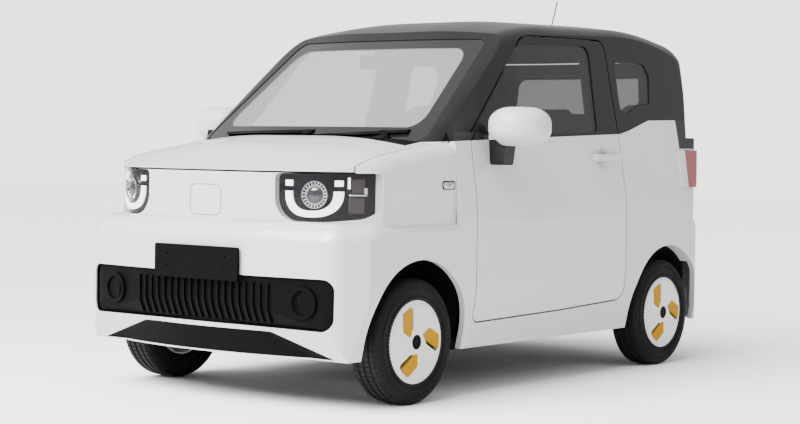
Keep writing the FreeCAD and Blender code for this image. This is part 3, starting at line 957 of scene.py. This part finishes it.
@dataclass
class Lamps:
    """Head and tail lamps."""

    projector: Point = (0.507, AHEAD_OF_NOSE, 0.843)
    projector_proud: float = 0.002
    projector_turn: float = 0.3
    lens: Profile = (
        (0.012, 0.0), (0.012, 0.034), (-0.004, 0.033), (-0.009, 0.027), (-0.012, 0.016),
        (-0.013, 0.0))
    fins: int = 22
    fin: tuple[Point, Point] = ((-0.0034, -0.012, 0.037), (0.0034, 0.006, 0.052))
    crown_inner: Profile = ((0.008, 0.034), (-0.006, 0.034), (-0.006, 0.038), (0.008, 0.038))
    crown_outer: Profile = ((0.008, 0.050), (-0.014, 0.051), (-0.014, 0.054), (0.008, 0.054))
    ring_x: float = 0.4995
    ring_half: float = 0.0935
    ring_top: float = 0.857
    ring_drop: float = 0.089
    ring_bend: float = 0.8
    ring_steps: int = 40
    band_half: Flat = (0.0155, 0.0125)
    squares_x: Profile = ((0.391, 0.422), (0.5805, 0.6065))
    squares_z: Flat = (0.877, 0.900)
    light_depth: float = 0.011
    light_thick: float = 0.006
    corner: Flat = (0.56, -1.24)
    corner_reach: float = 0.6
    ribbon_steps: int = 8
    signal: tuple[tuple[Any, ...], ...] = (
        ("chamber", SIGNAL_REFLECTOR, (0.772, 0.834, 0.020, 0.004, 60, 94)),
        ("bowl", SIGNAL_REFLECTOR, (0.852, 0.905, 0.021, 0.004, 70, 95)),
        ("bar", CHROME, (0.840, 0.846, 0.014, 0.005, 60, 96), (0.848, 0.872, 0.014, 0.005, 93, 96)),
        ("block", LAMP_WHITE, (0.868, 0.912, 0.012, 0.010, 57, 63)),
    )
    tail: Point = (0.655, BEHIND_TAIL, 0.949)
    tail_ring: Profile = ((0.001, 0.040), (-0.0025, 0.041), (-0.0025, 0.046), (0.001, 0.047))
    tail_centre: Profile = ((0.001, 0.0), (0.001, 0.020), (-0.002, 0.019), (-0.0025, 0.0))

    def dress(self) -> None:
        """Gives the lamp pieces their finishes."""
        dress(GLOSS_PLASTIC, "headlamps")
        dress(LAMP_WHITE, "lamp_lights")
        dress(CHROME, "projectors")
        dress(CLEAR_LENS, "headlamp_lenses")
        dress(RED_LENS, "tail_lamps")

    def build(self) -> None:
        """Models the projector, the U of light, the turn signal and the tail lamp's rings."""
        self._projector()
        self._light_ring()
        self._turn_signal()
        self._tail_rings()

    def _projector(self) -> None:
        """A faceted bright crown round a dark lens."""
        place, normal = skin("headlamps", self.projector, REARWARD)
        centre = (place.x, place.y - self.projector_proud, place.z)
        aim = (normal + Vector((0, -self.projector_turn, 0))).normalized()
        lens = turned(self.lens, centre, 40, "Y")
        crown = []
        for k in range(self.fins):
            fin = block(*self.fin, round_edge=0.0010, segments=1)
            turn = Matrix.Rotation(2 * math.pi * k / self.fins, 4, "Y")
            fin.data.transform(Matrix.Translation(centre) @ turn)
            crown.append(fin)
        crown += [turned(self.crown_inner, centre, 40, "Y"),
                  turned(self.crown_outer, centre, 48, "Y")]
        for piece, name, finish, replaces in ((lens, "lens", LENS_DARK, ""),
                                              (joined(crown), "crown", CHROME, "projectors")):
            lean(piece, aim, centre)
            smooth(piece)
            seat_pair(piece, f"projector_{name}", finish, replaces=replaces)

    def _strip(self, inner: Sequence[Flat], outer: Sequence[Flat]) -> Piece:
        """A band of light that lies close behind the lamp's cover.

        Args:
            inner: Its one edge, across the car and up.
            outer: Its other edge, with as many points.

        Returns:
            The closed band.
        """
        clear_selection()
        bpy.ops.mesh.primitive_grid_add(x_subdivisions=len(inner) - 1, y_subdivisions=1)
        band = bpy.context.object
        for vertex, (x, z) in zip(band.data.vertices, (*inner, *outer)):
            place, _ = skin("headlamp_lenses", (x, AHEAD_OF_NOSE, z), REARWARD)
            vertex.co = (x, place.y + self.light_depth, z)
        return mend(modified(band, "SOLIDIFY", thickness=self.light_thick, offset=0))

    def _light_ring(self) -> None:
        """The U of light and the two small squares above its arms."""
        edges: tuple[list[Flat], ...] = ([], [])
        for k in range(self.ring_steps + 1):
            turn = math.pi + math.pi * k / self.ring_steps
            reach_x = math.copysign(abs(math.cos(turn)) ** self.ring_bend, math.cos(turn))
            reach_z = -abs(math.sin(turn)) ** self.ring_bend
            for edge, sign in zip(edges, (-1, 1)):
                half, drop = self.ring_half, self.ring_drop
                edge.append((self.ring_x + (half + sign * self.band_half[0]) * reach_x,
                             self.ring_top + (drop + sign * self.band_half[1]) * reach_z))
        bands = [self._strip(*edges)]
        for start, stop in self.squares_x:
            steps = [start + (stop - start) * k / 3 for k in range(4)]
            bands.append(self._strip(*([(x, z) for x in steps] for z in self.squares_z)))
        piece = joined(bands)
        smooth(piece)
        seat_pair(piece, "light_ring", LAMP_WHITE, replaces="lamp_lights")

    def _ribbon(self, low: float, high: float, depth: float, thick: float, start: float,
                stop: float) -> Piece:
        """A strip that follows the lamp's cover round the corner of the car.

        Args:
            low: Its lower edge.
            high: Its upper edge.
            depth: How far behind the cover's outer face it lies.
            thick: Its thickness.
            start: The angle in degrees from the front where it starts.
            stop: The angle where it ends.

        Returns:
            The strip.
        """
        edges: tuple[list[Point], ...] = ([], [])
        for k in range(self.ribbon_steps + 1):
            turn = math.radians(start + (stop - start) * k / self.ribbon_steps)
            ray = Vector((math.sin(turn), -math.cos(turn), 0))
            origin = Vector((*self.corner, (low + high) / 2)) + ray * self.corner_reach
            place, _ = skin("headlamp_lenses", origin, -ray)
            for edge, behind in zip(edges, (depth, depth + thick)):
                edge.append((place.x - ray.x * behind, place.y - ray.y * behind, low))
        return slab(edges[0] + edges[1][::-1], (0, 0, high - low), 0.0012, 1)

    def _turn_signal(self) -> None:
        """The bright chambers beside the round light, with a thin bar and a white block."""
        rows = [(name, joined([self._ribbon(*ribbon) for ribbon in ribbons]), finish)
                for name, finish, *ribbons in self.signal]
        for name, piece, finish in rows:
            smooth(piece)
            seat_pair(piece, f"signal_{name}", finish)

    def _tail_rings(self) -> None:
        """A bright ring and a dark centre set on each domed tail lamp."""
        place, normal = skin("tail_lamps", self.tail, (0, -1, 0))
        for name, profile, finish in (("ring", self.tail_ring, LAMP_WHITE),
                                      ("centre", self.tail_centre, REFLECTOR_RED)):
            piece = turned(profile, place, 40, "Y")
            lean(piece, normal, place)
            smooth(piece)
            seat_pair(piece, f"tail_{name}", finish)


@dataclass
class Cushion:
    """One stuffed piece of a seat: its side view, width and sewn channels."""

    name: str
    side_view: Profile
    centre_x: float
    width: float
    radius: float
    channels: tuple[float, ...]
    voxel: float = 0.008
    cap: float = 0.010
    seam_depth: float = 0.005
    seam_width: float = 0.007
    pull_in: float = 0.008
    pressure: float = 4
    quality: int = 3
    frames: int = 15

    def build(self) -> Piece:
        """Models the cushion, stuffs it and sews its channels.

        Returns:
            The cushion before it is seated.
        """
        outline = rounded_corners(self.side_view, self.radius, 4)
        low = self.centre_x - self.width / 2 + self.pull_in
        points = [(low, y, z) for y, z in outline]
        obj = slab(points, (self.width - 2 * self.pull_in, 0, 0), 0.02, 3)
        modified(obj, "REMESH", mode="VOXEL", voxel_size=self.voxel)
        self._stuff(obj)
        self._sew(obj)
        smooth(obj, 80)
        return obj

    def _stuff(self, obj: Piece) -> None:
        """Blows the cover up like cloth over foam and keeps the result.

        Args:
            obj: The evenly meshed cushion.
        """
        rest = [v.co.copy() for v in obj.data.vertices]
        cloth = obj.modifiers.new("cover", "CLOTH")
        cloth.settings.use_pressure = True
        cloth.settings.uniform_pressure_force = self.pressure
        cloth.settings.effector_weights.gravity = 0
        cloth.settings.quality = self.quality
        scene = bpy.context.scene
        for frame_number in range(1, self.frames + 1):
            scene.frame_set(frame_number)
        take(obj)
        bpy.ops.object.modifier_apply(modifier=cloth.name)
        scene.frame_set(1)
        for vertex, start in zip(obj.data.vertices, rest):
            move = vertex.co - start
            if move.length > self.cap:
                vertex.co = start + move.normalized() * self.cap

    def _sew(self, obj: Piece) -> None:
        """Presses the sewn channels into the cover.

        Args:
            obj: The stuffed cushion.
        """
        normals = [v.normal.copy() for v in obj.data.vertices]
        for vertex, normal in zip(obj.data.vertices, normals):
            depth = 0.0
            for channel in self.channels:
                away = (vertex.co.x - self.centre_x - channel) / self.seam_width
                depth += math.exp(-away * away)
            vertex.co -= normal * depth * self.seam_depth


@dataclass
class Cabin:
    """Dashboard, seats, linings, steering wheel and mirror."""

    seat_x: float = 0.330
    cushion: Profile = ((-0.083, 0.432), (0.395, 0.412), (0.395, 0.495), (-0.083, 0.537))
    back: Profile = ((0.368, 0.480), (0.446, 0.480), (0.556, 1.020), (0.478, 1.032))
    head: Profile = ((0.492, 1.062), (0.566, 1.052), (0.596, 1.196), (0.522, 1.250))
    base_half: float = 0.19
    base_y: Flat = (-0.04, 0.36)
    base_z: Flat = (0.262, 0.428)
    post_place: Flat = (0.527, 1.035)
    post_lean: float = -0.2
    post_offset: float = 0.06
    post_radius: float = 0.006
    post_length: float = 0.11
    bench_cushion: Profile = ((0.712, 0.552), (1.012, 0.552), (0.994, 0.640), (0.708, 0.660))
    bench_back: Profile = ((1.000, 0.565), (1.070, 0.560), (1.156, 1.030), (1.090, 1.030))
    bench_width: float = 1.0
    bench_channels: tuple[float, ...] = (-0.25, 0.0, 0.25)
    lining_thick: float = 0.0025
    lining_slant: float = 0.5
    lining_half: float = 0.70
    lining_low: float = 0.4
    vents_x: tuple[float, ...] = (-0.50, -0.19, 0.19, 0.50)
    vent_y: float = -0.398
    vent_z: float = 0.865
    vent_radius: float = 0.031
    vent_ring: Profile = ((0, 0.030), (0.008, 0.031), (0.008, 0.036), (0, 0.037))
    slat_step: float = 0.011
    slat_half: float = 0.001
    slat_deep: float = 0.007
    pad: Profile = ((0.0, 0.0), (0.0, 0.062), (0.012, 0.060), (0.020, 0.048), (0.023, 0.0))
    pad_centre: Point = (0.330, -0.285, 0.885)
    pad_faces: Point = (0, 145, 70)

    def dress(self) -> None:
        """Gives the cabin pieces their finishes."""
        dress(CABIN_PLASTIC, "dashboard", "interior_mirror", "steering_wheel")
        dress(SEAT_CLOTH, "seat_left", "seat_right", "rear_bench")

    def build(self) -> None:
        """Models the seats, the linings and the fittings on the dashboard."""
        self._seats()
        self._bench()
        self._linings()
        self._dashboard()
        self._vents()
        self._wheel_pad()
        self._mirror()

    def _seats(self) -> None:
        """Two seats with a base, a cushion, a backrest and a head restraint."""
        x = self.seat_x
        padded = (
            Cushion("seat_cushion", self.cushion, x, 0.47, radius=0.032, channels=(-0.13, 0.13)),
            Cushion("seat_back", self.back, x, 0.45, radius=0.034, channels=(-0.125, 0.125)),
            Cushion("seat_head", self.head, x, 0.27, radius=0.030, channels=()),
        )
        low, high = zip(self.base_y, self.base_z)
        base = block((x - self.base_half, *low), (x + self.base_half, *high), 0.012)
        posts = joined([self._post(x + s * self.post_offset) for s in (-1, 1)])
        rows = [(piece.build(), piece.name, SEAT_CLOTH) for piece in padded]
        rows += [(base, "seat_base", CABIN_PLASTIC), (posts, "seat_posts", CHROME)]
        for piece, name, finish in rows:
            seat_pair(piece, name, finish, replaces="seat_{}")

    def _post(self, x: float) -> Piece:
        """One bright post that carries the head restraint.

        Args:
            x: Its place across the car.

        Returns:
            The post.
        """
        clear_selection()
        bpy.ops.mesh.primitive_cylinder_add(
            vertices=12, radius=self.post_radius, depth=self.post_length,
            location=(x, *self.post_place), rotation=(self.post_lean, 0, 0))
        return bpy.context.object

    def _bench(self) -> None:
        """The rear bench's cushion and backrest."""
        for name, side_view, radius in (("bench_cushion", self.bench_cushion, 0.030),
                                        ("bench_back", self.bench_back, 0.028)):
            row = Cushion(name, side_view, 0.0, self.bench_width, radius, self.bench_channels)
            seat_piece(row.build(), name, SEAT_CLOTH, replaces="rear_bench")

    def _linings(self) -> None:
        """Dark cards on the inner faces of the white panels."""
        rows = [(f"door_{hand}", f"door_card_{hand}", f"door_{hand}", side, 0.0)
                for hand, side in HANDS]
        rows += [(f"body_side_{hand}", f"side_lining_{hand}", "body", side, self.lining_low)
                 for hand, side in HANDS]
        sheets = [(picked_copy(node, partial(self._faces_in, side=side, low=low)), name, body)
                  for node, name, body, side, low in rows]
        rear = picked_copy("tailgate", lambda centre, normal: normal.y < -self.lining_slant)
        for sheet, name, body in (*sheets, (rear, "tailgate_lining", "tailgate")):
            modified(sheet, "SOLIDIFY", thickness=self.lining_thick, offset=1)
            smooth(sheet)
            seat_piece(sheet, name, CABIN_PLASTIC, body)

    def _faces_in(self, centre: Vector, normal: Vector, side: int, low: float) -> bool:
        """Whether a side panel's face is covered by its lining.

        Args:
            centre: The face's centre.
            normal: Its normal.
            side: 1 on the left, -1 on the right.
            low: Where the lining ends below.

        Returns:
            True for a face that looks into the cabin.
        """
        inward = side * normal.x < -self.lining_slant
        return inward and side * centre.x < self.lining_half and centre.z > low

    def _dashboard(self) -> None:
        """The instrument hood with its glass, and the middle screen."""
        profile = rounded_corners(
            ((-0.52, 0.975), (-0.43, 0.975), (-0.425, 1.062), (-0.52, 1.048)), 0.010)
        hood = slab([(0.185, y, z) for y, z in profile], (0.29, 0, 0), 0.006)
        smooth(hood)
        seat_piece(hood, "instrument_hood", CABIN_PLASTIC)
        outline = rectangle((0.20, 0.988), (0.46, 1.052), radius=0.010)
        glass = pane(outline, y=-0.4265, thickness=0.004)
        seat_piece(glass, "instrument_glass", GLOSS_PLASTIC)
        outline = rectangle((-0.12, 0.80), (0.12, 0.93), radius=0.012)
        screen = pane(outline, y=-0.402, thickness=0.010, edge=0.002)
        seat_piece(screen, "middle_screen", GLOSS_PLASTIC)

    def _vents(self) -> None:
        """Four round air vents, each with five slats."""
        vents = []
        for x in self.vents_x:
            vents.append(turned(self.vent_ring, (x, self.vent_y, self.vent_z), 32, "Y"))
            for up in (k * self.slat_step for k in range(-2, 3)):
                half, z = math.sqrt(self.vent_radius ** 2 - up ** 2), self.vent_z + up
                vents.append(block(
                    (x - half, self.vent_y, z - self.slat_half),
                    (x + half, self.vent_y + self.slat_deep, z + self.slat_half)))
        seat_piece(joined(vents), "air_vents", CABIN_PLASTIC)

    def _wheel_pad(self) -> None:
        """The pad in the middle of the steering wheel."""
        pad = turned(self.pad, self.pad_centre, 40, "Y")
        lean(pad, Vector(self.pad_faces).normalized(), self.pad_centre, (0, 1, 0))
        smooth(pad)
        seat_piece(pad, "wheel_pad", CABIN_PLASTIC, "steering_wheel")

    def _mirror(self) -> None:
        """The glass of the interior mirror."""
        outline = rectangle((-0.104, 1.390), (0.104, 1.440), radius=0.012)
        glass = pane(outline, y=-0.312, thickness=MIRROR_THICK)
        seat_piece(glass, "interior_mirror_glass", MIRROR_GLASS)


@dataclass
class Underside:
    """Floor, battery, axles and knuckles."""

    spring_radius: float = 0.036
    spring_wire: float = 0.0055
    spring_turns: int = 7
    spring_rise: float = 0.030
    spring_foot: Point = (0.545, -0.96, 0.425)
    spring_lean: float = 0.12

    def dress(self) -> None:
        """Gives the pieces under the floor their finishes."""
        dress(UNDERBODY, "floor_pan", "battery_pack")
        dress(STEEL, "front_suspension", "rear_axle", "knuckle_left", "knuckle_right")

    def build(self) -> None:
        """Models the coil springs round the front struts."""
        x, y, z = self.spring_foot
        for hand, side in HANDS:
            rings = []
            for k in range(self.spring_turns):
                clear_selection()
                bpy.ops.mesh.primitive_torus_add(
                    major_radius=self.spring_radius, minor_radius=self.spring_wire,
                    major_segments=28, minor_segments=8,
                    location=(side * x, y, z + self.spring_rise * k),
                    rotation=(self.spring_lean, 0, 0))
                rings.append(bpy.context.object)
            spring = joined(rings)
            smooth(spring, 60)
            seat_piece(spring, f"strut_spring_{hand}", STEEL)


@dataclass
class Wheels:
    """Four wheels with covers, blades and treaded tyres."""

    corners: tuple[tuple[str, str], ...] = (
        ("front", "left"), ("front", "right"), ("rear", "left"), ("rear", "right"))
    axles: tuple[tuple[str, float], ...] = (("front", -0.960), ("rear", 1.000))
    track_half: float = 0.645
    tyre_radius: float = 0.254
    steps: int = 72
    tread_from: float = 0.2475
    tread_slant: float = 0.3
    block_gap: float = 0.0014
    block_height: float = 0.0038
    wall: Profile = (
        (0.0505, 0.1535), (0.0600, 0.1570), (0.0655, 0.1620), (0.0680, 0.1720),
        (0.0693, 0.1820), (0.0690, 0.1850), (0.0707, 0.1865), (0.0712, 0.1905),
        (0.0704, 0.1925), (0.0718, 0.1990), (0.0722, 0.2070), (0.0712, 0.2150),
        (0.0716, 0.2165), (0.0706, 0.2205), (0.0696, 0.2212), (0.0680, 0.2290),
        (0.0650, 0.2370), (0.0600, 0.2440), (0.0535, 0.2487))
    tread: Profile = (
        (0.0340, 0.2500), (0.0330, 0.2455), (0.0290, 0.2455), (0.0280, 0.2502),
        (0.0050, 0.2502), (0.0040, 0.2455))
    cap: Profile = (
        (0.046, 0.0), (0.046, 0.0298), (0.0745, 0.0298), (0.0770, 0.0270), (0.0772, 0.0235),
        (0.0750, 0.0215), (0.0750, 0.0080), (0.0757, 0.0))
    backing: Profile = (
        (0.0520, 0.0465), (0.0545, 0.0465), (0.0545, 0.1450), (0.0520, 0.1450))

    def dress(self) -> None:
        """Gives covers, blades and tyres their finishes."""
        for end, hand in self.corners:
            dress(COVER_WHITE, f"wheel_{end}_{hand}")
            dress(BLADE_YELLOW, f"blades_{end}_{hand}")
            dress(RUBBER, f"tyre_{end}_{hand}")

    def build(self) -> None:
        """Models one tyre, cap and dark backing and copies them to the corners."""
        tyre = self._tyre()
        cap = turned(self.cap, (0, 0, 0), 48)
        backing = turned(self.backing, (0, 0, 0), 64)
        rows = (
            (tyre, "tread_tyre", RUBBER, "tyre_{}_{}"),
            (cap, "wheel_cap", TRIM_PLASTIC, ""),
            (backing, "wheel_backing", BACKING, ""),
        )
        for piece, name, finish, replaces in rows:
            smooth(piece)
            for end, hand in self.corners:
                side = dict(HANDS)[hand]
                hub = (side * self.track_half, dict(self.axles)[end], self.tyre_radius)
                turn = Matrix.Rotation(0 if side > 0 else math.pi, 4, "Z")
                copy = copied(piece, Matrix.Translation(hub) @ turn)
                seat_piece(copy, f"{name}_{end}_{hand}", finish, f"wheel_{end}_{hand}",
                           replaces.format(end, hand))
            bpy.data.objects.remove(piece)

    def _tyre(self) -> Piece:
        """One tyre about its own axis, with grooves and tread blocks.

        Returns:
            The tyre.
        """
        half = [*self.wall, *self.tread]
        tyre = turned(half + [(-x, r) for x, r in reversed(half)], (0, 0, 0), self.steps)
        for face in tyre.data.polygons:
            radius = math.hypot(face.center.y, face.center.z)
            face.select = radius > self.tread_from and abs(face.normal.x) < self.tread_slant
        take(tyre)
        bpy.ops.object.mode_set(mode="EDIT")
        bpy.ops.mesh.select_mode(type="FACE")
        bpy.ops.mesh.inset(thickness=self.block_gap, use_individual=True)
        bpy.ops.mesh.extrude_faces_move(TRANSFORM_OT_shrink_fatten={"value": self.block_height})
        bpy.ops.mesh.select_mode(type="VERT")
        bpy.ops.object.mode_set(mode="OBJECT")
        return tyre


# Studio


@dataclass
class Camera:
    """The camera at the photograph's place."""

    place: Point = (5.207, -6.825, 1.038)
    azimuth: float = 37.99
    tilt: float = 2.04
    roll: float = 0.866
    focal_px: float = 1847.9
    width_px: float = 800.0
    sensor: float = 36.0

    def build(self) -> None:
        """Makes the camera and makes it the scene's own."""
        clear_selection()
        bpy.ops.object.camera_add(location=self.place)
        camera = bpy.context.object
        camera.name = "photo_camera"
        a, e, r = (math.radians(v) for v in (self.azimuth, self.tilt, self.roll))
        right = Vector((math.cos(a), math.sin(a), 0))
        back = Vector((math.sin(a) * math.cos(e), -math.cos(a) * math.cos(e), math.sin(e)))
        up = back.cross(right)
        turned_right = right * math.cos(r) + up * math.sin(r)
        turned_up = up * math.cos(r) - right * math.sin(r)
        turn = Matrix((turned_right, turned_up, back)).transposed().to_4x4()
        camera.matrix_world = Matrix.Translation(self.place) @ turn
        camera.data.sensor_width = self.sensor
        camera.data.lens = self.focal_px / self.width_px * self.sensor
        camera.data.clip_end = 100
        bpy.context.scene.camera = camera


@dataclass
class Studio:
    """The pale floor, the soft lights and the white surround."""

    floor_size: float = 60.0
    floor_z: float = -0.0005
    surround: float = 1.05
    seen_surround: float = 2.75
    sun_from: Point = (-0.3, -1.0, 1.35)
    sun_away: float = 4.0
    sun_strength: float = 8.0
    sun_spread: float = 60.0
    aim: Point = (0, 0, 0.6)

    def build(self) -> None:
        """Makes the floor, the lights and the surround."""
        clear_selection()
        bpy.ops.mesh.primitive_plane_add(size=self.floor_size, location=(0, 0, self.floor_z))
        floor = bpy.context.object
        floor.name = "studio_floor"
        floor.data.materials.append(FLOOR_PAINT.build())
        self._light("SUN", "key_light", Vector(self.sun_from) * self.sun_away, Vector(),
                    energy=self.sun_strength, angle=math.radians(self.sun_spread))
        for name, place, size, power in (("front_light", (-0.6, -5.4, 4.2), 3.0, 850),
                                         ("side_light", (5.5, 2.5, 3.4), 4.0, 40)):
            self._light("AREA", name, Vector(place), Vector(self.aim), size=size, energy=power)
        world = bpy.context.scene.world or bpy.data.worlds.new("surround")
        bpy.context.scene.world = world
        board = Board(world, "Background")
        seen = board.node("LightPath", {}).outputs["Is Camera Ray"]
        level = board.ramp(seen, result=(self.surround, self.seen_surround))
        board.fill(board.shader, {"Color": (1, 1, 1, 1), "Strength": level})

    def _light(self, kind: str, name: str, place: Vector, target: Vector,
               **settings: float) -> None:
        """Adds one soft light.

        Args:
            kind: SUN or AREA.
            name: The light's name.
            place: Where it hangs.
            target: What it looks at.
            settings: Its energy, and its size or its angle.
        """
        bpy.ops.object.light_add(type=kind, location=place)
        light = bpy.context.object
        light.name = name
        for setting, value in settings.items():
            setattr(light.data, setting, value)
        light.rotation_euler = (target - place).to_track_quat("-Z", "Y").to_euler()


def main() -> None:
    """Builds every sub-assembly in order, then the studio and the camera."""
    logging.basicConfig(level=logging.INFO, format="%(name)s: %(message)s")
    dressed = (BodyShell(), Lamps(), Cabin(), Underside(), Wheels())
    for part in dressed:
        part.dress()
    for part in (*dressed, Front()):
        log.info("building %s", type(part).__name__)
        part.build()
    Studio().build()
    Camera().build()


if __name__ == "__main__":
    main()
